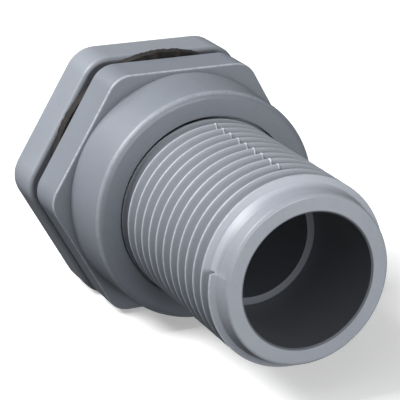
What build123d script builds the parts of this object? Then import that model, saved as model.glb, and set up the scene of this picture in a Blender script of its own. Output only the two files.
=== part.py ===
from build123d import *
import math
import os

# Flanged conduit gland: a hex headed body with a threaded barrel, a flat sealing gasket and a
# collared hexagonal locknut. +X runs along the barrel towards its open end, +Z is up with a hex
# flat on top, and the origin is the centre of the head's sealing face. Millimetres.

# Barrel and its sockets
barrel_length = 50.3        # sealing face to the open end
lip_radius = 12.6           # plain lip ahead of the thread, and the thread's root
lip_round = 0.45            # rounded outer edge of the open end
socket_radius = 10.0        # slip socket for a 20 mm conduit
socket_depth = 16.8
stop_radius = 8.86          # smaller bore between the two sockets, the conduit's stop
mouth_chamfer = 0.2

# Head
head_across_flats = 39.4
head_thickness = 7.0
head_corner_round = 5.0
edge_round = 0.35           # small moulded radius on outer edges
head_front_round = 0.7      # softer edge on the gasket side

# Left-hand thread
thread_pitch = 2.5
thread_major_radius = 14.0
crest_flat = 0.35
flank_angle = 30.0          # each flank from the radial plane
thread_start = 2.6          # crest of the first turn, back from the open end
thread_start_angle = 171.0  # blunt start, from +Y towards +Z
lead_in_run = 2.2           # axial length of the first turn's front flank, with its sloping foot
lead_in_foot = 0.5          # height of that foot, low enough to pass under the nut's thread
root_overlap = 0.3          # how far the thread is sunk into the core

# Gasket
gasket_thickness = 1.8
gasket_outer_radius = 18.8
gasket_bore_clearance = 0.3 # off the thread where the washer hangs nearest to it
gasket_lift = 1.4           # the loose washer is clamped off centre, upwards

# Locknut
nut_across_flats = 38.3
nut_hex_length = 7.03
nut_corner_round = 4.0
nut_height = 16.57
collar_base_radius = 18.6
collar_front_radius = 18.15
collar_front_round = 1.1
nut_mouth_radius = 14.45
nut_mouth_depth = 1.6
nut_bore_clearance = 0.2    # nut's thread crests off the foot of the barrel's first turn
thread_clearance = 0.2      # nut thread off the barrel's thread, square to the surface

# Derived sizes
thread_depth = thread_major_radius - lip_radius
flank_run = thread_depth * math.tan(math.radians(flank_angle))
thread_front = barrel_length - thread_start
lead_in_start = thread_front - thread_pitch
thread_back = thread_front - thread_pitch * math.ceil(thread_front / thread_pitch + 0.5)
thread_plane = Plane.XZ.rotated((thread_start_angle - 90, 0, 0))
sunk_radius = lip_radius - root_overlap
sunk_run = flank_run + root_overlap * math.tan(math.radians(flank_angle))
foot_radius = lip_radius + lead_in_foot
foot_start = (thread_major_radius - foot_radius) * math.tan(math.radians(flank_angle))
foot_end = lead_in_run + root_overlap * (lead_in_run - foot_start) / lead_in_foot
gasket_bore_radius = thread_major_radius + gasket_bore_clearance + gasket_lift
nut_back = gasket_thickness
nut_front = nut_back + nut_height
nut_shoulder = nut_back + nut_hex_length
nut_bore_radius = foot_radius + nut_bore_clearance

# The nut's thread is the barrel's own profile grown by the clearance, on the same helix
groove_radius = thread_major_radius + thread_clearance
groove_half = (crest_flat / 2 + thread_clearance / math.cos(math.radians(flank_angle))
               - thread_clearance * math.tan(math.radians(flank_angle)))
groove_run = (groove_radius - lip_radius) * math.tan(math.radians(flank_angle))
first_groove = thread_front - thread_pitch * math.ceil((thread_front - nut_back) / thread_pitch)
groove_turns = math.ceil((nut_front - first_groove) / thread_pitch) + 1


def helix(start, length):
    """Left-hand path along the barrel, starting in the plane of the thread's blunt start."""
    path = Helix(thread_pitch, length, thread_major_radius, center=(start, 0, 0),
                 direction=(1, 0, 0), lefthand=True)
    return path.rotate(Axis.X, thread_start_angle - 90)


with BuildPart() as barrel_thread:
    with BuildSketch(thread_plane):
        with BuildLine():
            Polyline(
                (thread_back - crest_flat / 2 - sunk_run, sunk_radius),
                (thread_back - crest_flat / 2, thread_major_radius),
                (thread_back + crest_flat / 2, thread_major_radius),
                (thread_back + crest_flat / 2 + sunk_run, sunk_radius),
                close=True,
            )
        make_face()
    sweep(path=helix(thread_back, lead_in_start - thread_back), is_frenet=True)

with BuildPart() as lead_in_turn:
    with BuildSketch(thread_plane):
        with BuildLine():
            Polyline(
                (lead_in_start - crest_flat / 2 - sunk_run, sunk_radius),
                (lead_in_start - crest_flat / 2, thread_major_radius),
                (lead_in_start + crest_flat / 2, thread_major_radius),
                (lead_in_start + crest_flat / 2 + foot_start, foot_radius),
                (lead_in_start + crest_flat / 2 + foot_end, sunk_radius),
                close=True,
            )
        make_face()
    sweep(path=helix(lead_in_start, thread_pitch), is_frenet=True)

with BuildPart() as gland_body:
    with BuildSketch(Plane.YZ.offset(-head_thickness)) as head_outline:
        RegularPolygon(head_across_flats / 2, 6, major_radius=False)
        fillet(head_outline.vertices(), head_corner_round)
    extrude(amount=head_thickness)
    fillet(gland_body.faces().sort_by(Axis.X)[0].edges(), edge_round)
    fillet(gland_body.faces().sort_by(Axis.X)[-1].edges(), head_front_round)
    with BuildSketch(Plane.YZ):
        Circle(lip_radius)
    extrude(amount=barrel_length)
    add(barrel_thread.part)
    add(lead_in_turn.part)
    with BuildSketch(Plane.XZ):  # rounds the open end and bevels whatever thread stands past it
        with BuildLine():
            RadiusArc(
                (barrel_length - lip_round, lip_radius),
                (barrel_length, lip_radius - lip_round),
                lip_round,
            )
            Polyline(
                (barrel_length, lip_radius - lip_round),
                (barrel_length + thread_pitch, lip_radius - lip_round),
                (barrel_length + thread_pitch, thread_major_radius + 1),
                (barrel_length - lip_round - thread_depth - 1, thread_major_radius + 1),
                (barrel_length - lip_round, lip_radius),
            )
        make_face()
    revolve(axis=Axis.X, mode=Mode.SUBTRACT)
    with BuildSketch(Plane.YZ.offset(-head_thickness)):
        Circle(stop_radius)
    extrude(amount=head_thickness + barrel_length, mode=Mode.SUBTRACT)
    with BuildSketch(Plane.YZ.offset(-head_thickness)):
        Circle(socket_radius)
    extrude(amount=socket_depth, mode=Mode.SUBTRACT)
    with BuildSketch(Plane.YZ.offset(barrel_length)):
        Circle(socket_radius)
    extrude(amount=-socket_depth, mode=Mode.SUBTRACT)
    mouths = gland_body.edges().filter_by(GeomType.CIRCLE)
    mouths = mouths.filter_by(lambda e: abs(e.radius - socket_radius) < 0.001).sort_by(Axis.X)
    chamfer([mouths[0], mouths[-1]], mouth_chamfer)

with BuildPart() as sealing_gasket:
    with BuildSketch(Plane.YZ):
        with Locations((0, gasket_lift)):
            Circle(gasket_outer_radius)
            Circle(gasket_bore_radius, mode=Mode.SUBTRACT)
    extrude(amount=gasket_thickness)

with BuildPart() as locknut:
    with BuildSketch(Plane.YZ.offset(nut_back)) as nut_outline:
        RegularPolygon(nut_across_flats / 2, 6, major_radius=False)
        fillet(nut_outline.vertices(), nut_corner_round)
    extrude(amount=nut_hex_length)
    fillet(locknut.faces().sort_by(Axis.X)[0].edges(), edge_round)
    fillet(locknut.faces().sort_by(Axis.X)[-1].edges(), edge_round)
    with BuildSketch(Plane.XZ):
        with BuildLine():
            Polyline(
                (nut_back + 1, 0),
                (nut_back + 1, collar_base_radius),
                (nut_shoulder, collar_base_radius),
                (nut_front, collar_front_radius),
                (nut_front, 0),
                close=True,
            )
        make_face()
    revolve(axis=Axis.X)
    fillet(locknut.edges().filter_by(GeomType.CIRCLE).sort_by(Axis.X)[-1], collar_front_round)
    with BuildSketch(Plane.YZ.offset(nut_back)):
        Circle(nut_bore_radius)
    extrude(amount=nut_height, mode=Mode.SUBTRACT)
    for turn in range(groove_turns):
        groove_start = first_groove + turn * thread_pitch
        with BuildSketch(thread_plane):
            with BuildLine():
                Polyline(
                    (groove_start - groove_half - groove_run, lip_radius),
                    (groove_start - groove_half, groove_radius),
                    (groove_start + groove_half, groove_radius),
                    (groove_start + groove_half + groove_run, lip_radius),
                    close=True,
                )
            make_face()
        sweep(path=helix(groove_start, thread_pitch), is_frenet=True, mode=Mode.SUBTRACT)
    with BuildSketch(Plane.YZ.offset(nut_back)):
        Circle(groove_radius)
    extrude(amount=groove_radius - nut_bore_radius, taper=45, mode=Mode.SUBTRACT)
    with BuildSketch(Plane.YZ.offset(nut_front)):
        Circle(nut_mouth_radius)
    extrude(amount=-nut_mouth_depth, mode=Mode.SUBTRACT)

os.makedirs("parts", exist_ok=True)
gland_body.part.label = "gland_body"
export_step(gland_body.part, "parts/gland_body.step")
sealing_gasket.part.label = "sealing_gasket"
export_step(sealing_gasket.part, "parts/sealing_gasket.step")
locknut.part.label = "locknut"
export_step(locknut.part, "parts/locknut.step")
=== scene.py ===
import math

import bpy
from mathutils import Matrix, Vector


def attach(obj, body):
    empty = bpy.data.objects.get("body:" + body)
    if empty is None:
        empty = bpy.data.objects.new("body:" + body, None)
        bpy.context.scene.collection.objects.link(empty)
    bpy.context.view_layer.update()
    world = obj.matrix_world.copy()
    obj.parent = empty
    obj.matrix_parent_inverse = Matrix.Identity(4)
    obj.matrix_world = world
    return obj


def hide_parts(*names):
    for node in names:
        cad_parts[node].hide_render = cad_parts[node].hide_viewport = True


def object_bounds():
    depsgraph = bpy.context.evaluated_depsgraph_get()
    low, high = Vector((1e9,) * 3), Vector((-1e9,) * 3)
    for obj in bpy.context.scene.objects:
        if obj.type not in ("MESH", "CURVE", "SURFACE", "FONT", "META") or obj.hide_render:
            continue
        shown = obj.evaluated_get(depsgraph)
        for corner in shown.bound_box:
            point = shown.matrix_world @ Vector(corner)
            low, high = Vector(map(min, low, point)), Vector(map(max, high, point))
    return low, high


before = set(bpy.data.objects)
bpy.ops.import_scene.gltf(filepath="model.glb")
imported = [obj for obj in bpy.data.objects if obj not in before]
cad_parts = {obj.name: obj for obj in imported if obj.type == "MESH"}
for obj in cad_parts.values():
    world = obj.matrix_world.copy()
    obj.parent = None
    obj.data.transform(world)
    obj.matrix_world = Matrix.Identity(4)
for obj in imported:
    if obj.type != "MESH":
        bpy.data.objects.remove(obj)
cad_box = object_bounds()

# ---------------------------------------------------------------- Camera
# A long lens looks at the open end from the -Y side and about 20 degrees above the barrel's axis,
# tilted a degree to one side.
camera_data = bpy.data.cameras.new("camera")
camera_data.lens = 171.58
camera_data.sensor_width = 36.0
camera_data.clip_start = 0.01
camera = bpy.data.objects.new("camera", camera_data)
camera.location = (0.26214, -0.11880, 0.09928)
camera.rotation_euler = (math.radians(70.102), math.radians(-1.068), math.radians(64.680))
bpy.context.scene.collection.objects.link(camera)
bpy.context.scene.camera = camera
bpy.context.scene.view_settings.view_transform = "Standard"

# ---------------------------------------------------------------- Floor and light
# A plain white sheet lies under the part. It glows a little to stay white, and adds nothing to the
# light on the part. Three soft boxes stand high on the -Y side, level with the head, behind it and
# ahead of the open end, and a small one faces the open end.
sheet_size = 8.0
sheet_white = (0.86, 0.86, 0.86, 1)
sheet_roughness = 0.9
sheet_glow = 0.34
bpy.ops.object.select_all(action="DESELECT")
bpy.ops.mesh.primitive_grid_add(
    x_subdivisions=8,
    y_subdivisions=8,
    size=sheet_size,
    location=(0, 0, cad_box[0].z),
)
floor = bpy.context.object
floor.name = "floor"
bpy.ops.object.transform_apply(location=True, rotation=True, scale=True)
floor.visible_diffuse = False
floor.visible_glossy = False
floor_paint = bpy.data.materials.new("white_sheet")
floor_paint.use_nodes = True
floor_shader = floor_paint.node_tree.nodes["Principled BSDF"]
floor_shader.inputs["Base Color"].default_value = sheet_white
floor_shader.inputs["Roughness"].default_value = sheet_roughness
floor_shader.inputs["Emission Color"].default_value = (1, 1, 1, 1)
floor_shader.inputs["Emission Strength"].default_value = sheet_glow
floor.data.materials.append(floor_paint)

light_target = Vector((0.025, 0, 0))    # halfway along the barrel
for name, place, size, watts in (
    ("key_box", (-0.05, -0.40, 0.45), 0.25, 4.6),
    ("back_box", (-0.32, -0.32, 0.40), 0.40, 1.3),
    ("top_box", (0.32, -0.25, 0.50), 0.40, 0.5),
    ("front_box", (0.190, 0.010, 0.015), 0.09, 0.255),
):
    light_data = bpy.data.lights.new(name, "AREA")
    light_data.shape = "SQUARE"
    light_data.size = size
    light_data.energy = watts
    light = bpy.data.objects.new(name, light_data)
    light.location = place
    light.rotation_euler = (Vector(place) - light_target).to_track_quat("Z", "Y").to_euler()
    light.visible_camera = False
    bpy.context.scene.collection.objects.link(light)

world = bpy.data.worlds.new("even_fill")
world.use_nodes = True
world.node_tree.nodes["Background"].inputs["Color"].default_value = (0.95, 0.97, 1.0, 1)
world.node_tree.nodes["Background"].inputs["Strength"].default_value = 0.085
bpy.context.scene.world = world


# ---------------------------------------------------------------- Gland body
# The hexagonal head and the threaded barrel are one injection moulding in grey PVC, semi-matt and a
# little cloudy. Painted shade darkens the inside of the bore. The thread's crests carry a painted
# highlight, brightest on the lit -Y side, and its flanks are painted lighter to lift their shade.
class Wire:
    """A shader socket. Arithmetic on it adds Math nodes to its material."""

    def __init__(self, paint, socket):
        self.paint = paint
        self.socket = socket

    def __add__(self, other):
        return self.paint.math("ADD", self, other)

    def __radd__(self, other):
        return self.paint.math("ADD", other, self)

    def __sub__(self, other):
        return self.paint.math("SUBTRACT", self, other)

    def __rsub__(self, other):
        return self.paint.math("SUBTRACT", other, self)

    def __mul__(self, other):
        return self.paint.math("MULTIPLY", self, other)

    def __rmul__(self, other):
        return self.paint.math("MULTIPLY", other, self)

    def __pow__(self, other):
        return self.paint.math("POWER", self, other)

    def above(self, low, high):
        """Go smoothly from 0 at low to 1 at high, which may be the smaller of the two."""
        return self.paint.node(
            "ShaderNodeMapRange",
            {"interpolation_type": "SMOOTHSTEP"},
            {"Value": self, "From Min": low, "From Max": high},
        )


class Paint:
    """A material being built. Its patterns are laid out in millimetres on the piece."""

    def __init__(self, name):
        self.material = bpy.data.materials.new(name)
        self.material.use_nodes = True
        self.tree = self.material.node_tree
        self.shader = self.tree.nodes["Principled BSDF"]
        place = self.node("ShaderNodeTexCoord", outputs=("Object",))
        self.millimetres = self.node(
            "ShaderNodeMapping", {}, {"Vector": place, "Scale": (1000, 1000, 1000)})

    def node(self, kind, settings=None, sockets=None, outputs=(0,)):
        """Add a node: its settings first, then the values or links of its sockets."""
        node = self.tree.nodes.new(kind)
        for key, value in (settings or {}).items():
            setattr(node, key, value)
        for key, value in (sockets or {}).items():
            self.feed(node.inputs[key], value)
        wires = [Wire(self, node.outputs[key]) for key in outputs]
        return wires if len(wires) > 1 else wires[0]

    def feed(self, socket, value):
        """Give a socket a plain value, or a link from another node."""
        if isinstance(value, Wire):
            self.tree.links.new(value.socket, socket)
        else:
            socket.default_value = value

    def math(self, operation, *values):
        return self.node("ShaderNodeMath", {"operation": operation}, dict(enumerate(values)))

    def noise(self, scale, detail, roughness=0.5):
        """Grain from 0 to 1, with about scale grains to the millimetre."""
        return self.node(
            "ShaderNodeTexNoise",
            {},
            {"Vector": self.millimetres, "Scale": scale, "Detail": detail, "Roughness": roughness},
        )

    def mix(self, factor, first, second):
        """Blend two colours, from first at factor 0 to second at factor 1."""
        return self.node(
            "ShaderNodeMix",
            {"data_type": "RGBA", "clamp_factor": True},
            {0: factor, 6: first, 7: second},
            (2,),
        )

    def bump(self, relief, strength, distance):
        return self.node(
            "ShaderNodeBump", {}, {"Height": relief, "Strength": strength, "Distance": distance})

    def finish(self, **sockets):
        """Set the shader's own sockets, named with _ for a space."""
        for key, value in sockets.items():
            self.feed(self.shader.inputs[key.replace("_", " ")], value)


def grey_pvc(name, dark, light):
    """Moulded grey PVC: the clouds, specks, skin and place that every piece of it shares."""
    pvc = Paint(name)
    pvc.along, pvc.across, pvc.up = pvc.node(
        "ShaderNodeSeparateXYZ", {}, {"Vector": pvc.millimetres}, ("X", "Y", "Z"))
    pvc.radius = (pvc.across * pvc.across + pvc.up * pvc.up) ** 0.5
    pvc.cloud = pvc.noise(0.09, 4.0, 0.55)
    pvc.speck = pvc.noise(1.7, 3.0, 0.65)
    skin = pvc.noise(5.0, 2.0, 0.6)
    pvc.colour = pvc.mix((pvc.cloud - 0.5) * 0.9 + (pvc.speck - 0.5) * 0.7 + 0.5, dark, light)
    pvc.unevenness = (pvc.cloud - 0.5) * 0.16 + (pvc.speck - 0.5) * 0.12
    pvc.texture = pvc.bump(skin * 0.35 + pvc.speck * 0.4 + pvc.cloud * 0.3, 0.12, 0.00012)
    return pvc


pvc_refraction = 1.52               # index of refraction, the same for the nut
body_dark = (0.232, 0.250, 0.284, 1)
body_light = (0.286, 0.308, 0.345, 1)
body_roughness = 0.42
crest_highlight_grey = (0.46, 0.49, 0.54, 1)
crest_highlight_cover = 0.8                  # how much of the colour under it a layer hides
crest_highlight_roughness = -0.08            # added to the body's where the crest highlight is painted
flank_painted_light = (0.420, 0.446, 0.492, 1)
flank_light_cover = 0.55
bore_painted_shade = (0.060, 0.065, 0.075, 1)
bore_shade_cover = 0.8
crest_radius = (13.86, 13.97)       # millimetres, as all the painted bands are
flank_radius = (12.65, 12.85)
bore_radius = (10.35, 10.2)
off_head = (0.5, 2.0)               # along the barrel, where the thread's painted light starts
off_lip_crest = (48.5, 47.5)        # and where it stops
off_lip_flank = (48.0, 46.5)
highlight_side = (90, 140)             # degrees round from +Y: the lit -Y side gets the most painted highlight
highlight_specks = (0.35, 0.6)

pvc = grey_pvc("moulded_grey_pvc", body_dark, body_light)
round_from_y = pvc.math("ABSOLUTE", pvc.math("ARCTAN2", pvc.up, pvc.across) * (180 / math.pi))
clear_of_head = pvc.along.above(*off_head)
crest = pvc.radius.above(*crest_radius) * clear_of_head * pvc.along.above(*off_lip_crest)
flank = pvc.radius.above(*flank_radius) * clear_of_head * pvc.along.above(*off_lip_flank)
patchy = 0.55 + 0.45 * pvc.speck.above(*highlight_specks)
# Painted highlight on the thread's crests, strongest on the lit -Y side.
crest_highlight = crest * patchy * (0.15 + 0.85 * round_from_y.above(*highlight_side))
colour = pvc.mix(crest_highlight * crest_highlight_cover, pvc.colour, crest_highlight_grey)
# Painted light: the flanks are made lighter to lift the shade between the crests.
colour = pvc.mix(flank * (1 - crest_highlight) * flank_light_cover, colour, flank_painted_light)
# Painted shade: the inside of the bore is darkened.
colour = pvc.mix(pvc.radius.above(*bore_radius) * bore_shade_cover, colour, bore_painted_shade)
roughness = body_roughness + pvc.unevenness + crest_highlight * crest_highlight_roughness
pvc.finish(Base_Color=colour, Roughness=roughness, Normal=pvc.texture, IOR=pvc_refraction)
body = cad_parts["gland_body"]
body.material_slots[0].material = pvc.material

# ---------------------------------------------------------------- Parting-line flash
# Where the two halves of the barrel's mould met, a thin ridge of PVC stands up along the top of the
# thread. It belongs to the same moulding, so it is cut from a copy of its surface.
flash_angle = math.radians(91.3)    # from +Y towards +Z
flash_width = 0.00019
flash_height = 0.00010
flash_from = 0.0198                 # along the barrel
flash_to = 0.0412
flash_inner = 0.0131                # the flash keeps outside this radius
same_point = 0.000001               # corners this close are merged into one
bpy.ops.object.select_all(action="DESELECT")
flash = body.copy()
flash.data = body.data.copy()
flash.name = "parting_flash"
bpy.context.scene.collection.objects.link(flash)
bpy.context.view_layer.objects.active = flash
flash.select_set(True)
lengthwise = Vector((1, 0, 0))
sideways = Vector((0, -math.sin(flash_angle), math.cos(flash_angle)))
outwards = Vector((0, math.cos(flash_angle), math.sin(flash_angle)))
bpy.ops.object.mode_set(mode="EDIT")
bpy.ops.mesh.select_all(action="SELECT")
bpy.ops.mesh.remove_doubles(threshold=same_point)
bpy.ops.mesh.customdata_custom_splitnormals_clear()
for cut_away, place in (
    (sideways, sideways * (flash_width / 2)),
    (-sideways, -sideways * (flash_width / 2)),
    (lengthwise, lengthwise * flash_to),
    (-lengthwise, lengthwise * flash_from),
    (-outwards, outwards * flash_inner),
):
    bpy.ops.mesh.select_all(action="SELECT")
    bpy.ops.mesh.bisect(plane_co=place, plane_no=cut_away, clear_outer=True)
bpy.ops.object.mode_set(mode="OBJECT")
ridge = flash.modifiers.new("ridge", "SOLIDIFY")
ridge.thickness = flash_height
ridge.offset = 1.0
bpy.ops.object.modifier_apply(modifier="ridge")
bpy.ops.object.mode_set(mode="EDIT")
bpy.ops.mesh.select_all(action="SELECT")
bpy.ops.mesh.normals_make_consistent(inside=False)
bpy.ops.object.mode_set(mode="OBJECT")

# The flash's pale colour is a painted highlight along the ridge.
flash_highlight_dim = (0.40, 0.43, 0.47, 1)
flash_highlight_pale = (0.68, 0.71, 0.76, 1)
flash_roughness = 0.35
flash_paint = Paint("flash_painted_highlight")
frayed = flash_paint.noise(3.0, 2.0)
colour = flash_paint.mix(frayed.above(0.3, 0.7), flash_highlight_dim, flash_highlight_pale)
flash_paint.finish(Base_Color=colour, Roughness=flash_roughness + frayed * 0.2)
flash.data.materials.clear()
flash.data.materials.append(flash_paint.material)
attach(flash, "gland")

# ---------------------------------------------------------------- Locknut
# The hexagonal nut and its collar are one moulding in the same PVC, a shade darker. It screws onto
# the barrel. The hexagon's front edge and the rounding of the collar carry painted highlights.
nut_dark = (0.182, 0.199, 0.231, 1)
nut_light = (0.226, 0.246, 0.281, 1)
nut_roughness = 0.44
edge_highlight_grey = (0.46, 0.49, 0.54, 1)
edge_highlight_cover = 0.8
hex_edge_start = (8.50, 8.62)       # along the barrel, up to the hexagon's front face
hex_edge_end = (8.82, 8.75)
hex_edge_radius = (18.7, 18.9)      # outside the collar
collar_edge_start = (17.45, 17.75)
collar_edge_end = (18.25, 18.05)
collar_edge_radius = (16.9, 17.2)   # outside the nut's mouth
collar_highlight_share = 0.35                  # of the hexagon's

pvc = grey_pvc("moulded_nut_pvc", nut_dark, nut_light)
hex_edge = pvc.along.above(*hex_edge_start) * pvc.along.above(*hex_edge_end)
collar_edge = pvc.along.above(*collar_edge_start) * pvc.along.above(*collar_edge_end)
hex_edge_highlight = hex_edge * pvc.radius.above(*hex_edge_radius)
collar_edge_highlight = collar_edge * pvc.radius.above(*collar_edge_radius) * collar_highlight_share
# Painted highlights on the hexagon's front edge and on the collar's rounding.
edge_highlight = (hex_edge_highlight + collar_edge_highlight) * (0.5 + 0.5 * pvc.speck.above(*highlight_specks))
colour = pvc.mix(edge_highlight * edge_highlight_cover, pvc.colour, edge_highlight_grey)
roughness = nut_roughness + pvc.unevenness
pvc.finish(Base_Color=colour, Roughness=roughness, Normal=pvc.texture, IOR=pvc_refraction)
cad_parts["locknut"].material_slots[0].material = pvc.material

# ---------------------------------------------------------------- Sealing gasket
# A washer stamped from black-brown sheet rubber. Its cut edge is ragged, and it is clamped loose
# and off centre between the head and the nut.
washer_outer = 0.0187
washer_inner = 0.0157
washer_thick = 0.0018
washer_lift = 0.0014
washer_sides = 288
washer_rings = 4
ragged = 0.00012
face_gap = 0.00002                  # the outer edge's corners stay this far inside the faces
sharp_corner = math.radians(40)
bpy.ops.object.select_all(action="DESELECT")
bpy.ops.mesh.primitive_circle_add(
    vertices=washer_sides,
    radius=washer_outer,
    fill_type="NOTHING",
    location=(0, 0, washer_lift),
    rotation=(0, math.pi / 2, 0),
)
washer = bpy.context.object
washer.name = "rubber_washer"
bpy.ops.object.transform_apply(location=True, rotation=True, scale=True)
bpy.ops.object.mode_set(mode="EDIT")
bpy.ops.mesh.select_all(action="SELECT")
for ring in range(washer_rings):
    step = (washer_thick / washer_rings, 0, 0)
    bpy.ops.mesh.extrude_region_move(TRANSFORM_OT_translate={"value": step})
bpy.ops.mesh.select_all(action="SELECT")
bpy.ops.transform.vertex_random(offset=ragged, uniform=0.2, normal=0.0, seed=7)
bpy.ops.object.mode_set(mode="OBJECT")
for vertex in washer.data.vertices:
    vertex.co.x = min(max(vertex.co.x, face_gap), washer_thick - face_gap)
wall = washer.modifiers.new("wall", "SOLIDIFY")
wall.thickness = washer_outer - washer_inner
wall.offset = 1.0
bpy.ops.object.modifier_apply(modifier="wall")
bpy.ops.object.mode_set(mode="EDIT")
bpy.ops.mesh.select_all(action="SELECT")
bpy.ops.mesh.remove_doubles(threshold=same_point)
bpy.ops.mesh.normals_make_consistent(inside=False)
bpy.ops.object.mode_set(mode="OBJECT")
bpy.ops.object.shade_smooth_by_angle(angle=sharp_corner)

rubber_black = (0.005, 0.0045, 0.0045, 1)
rubber_brown = (0.026, 0.020, 0.016, 1)
rubber_roughness = 0.62
rubber = Paint("cut_black_rubber")
grain = rubber.noise(2.2, 4.0, 0.7)
dust = rubber.noise(0.6, 3.0)
browned = grain.above(0.35, 0.7) * 0.7 + dust.above(0.45, 0.75) * 0.5
colour = rubber.mix(browned, rubber_black, rubber_brown)
roughness = rubber_roughness + grain * 0.3
torn = rubber.bump(grain + dust, 0.6, 0.0002)
rubber.finish(Base_Color=colour, Roughness=roughness, Normal=torn)
washer.data.materials.append(rubber.material)
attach(washer, "gasket")
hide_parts("sealing_gasket")
